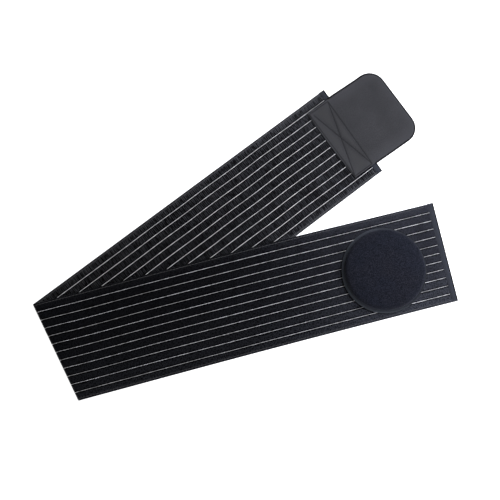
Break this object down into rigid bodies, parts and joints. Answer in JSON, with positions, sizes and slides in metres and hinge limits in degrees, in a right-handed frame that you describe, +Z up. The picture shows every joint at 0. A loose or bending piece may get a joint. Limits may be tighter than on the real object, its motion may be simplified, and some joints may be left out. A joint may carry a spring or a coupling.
{
  "type": "umbilical hernia belt",
  "caption": "Wide pinstriped elastic abdominal belt, folded once and laid flat, with a sewn hook tab at one end and a round compression pad near the other.",
  "frame": {"origin": "on the table, under the middle of the laid belt's box", "axes": "+X along the long side of the laid belt from the fold towards the pad end, +Y across it, +Z up from the table"},
  "size_m": [0.4234, 0.3346, 0.0179],
  "materials": {
    "elastic": "matte black woven elastic with pale grey lengthwise pinstripes",
    "end_tape": "matte black tape folded over the cut end",
    "hook_backing": "smooth dark grey backing of hook fabric, dark thread",
    "rim_tape": "dark grey bound rim",
    "velvet": "blue-black velvety cloth"
  },
  "bodies": {
    "root": {"elastic_band": "elastic", "pad_end_binding": "end_tape", "tab_end_binding": "end_tape", "hook_tab": "hook_backing", "pad_rim": "rim_tape", "pad_cushion": "velvet"}
  },
  "joints": []
}
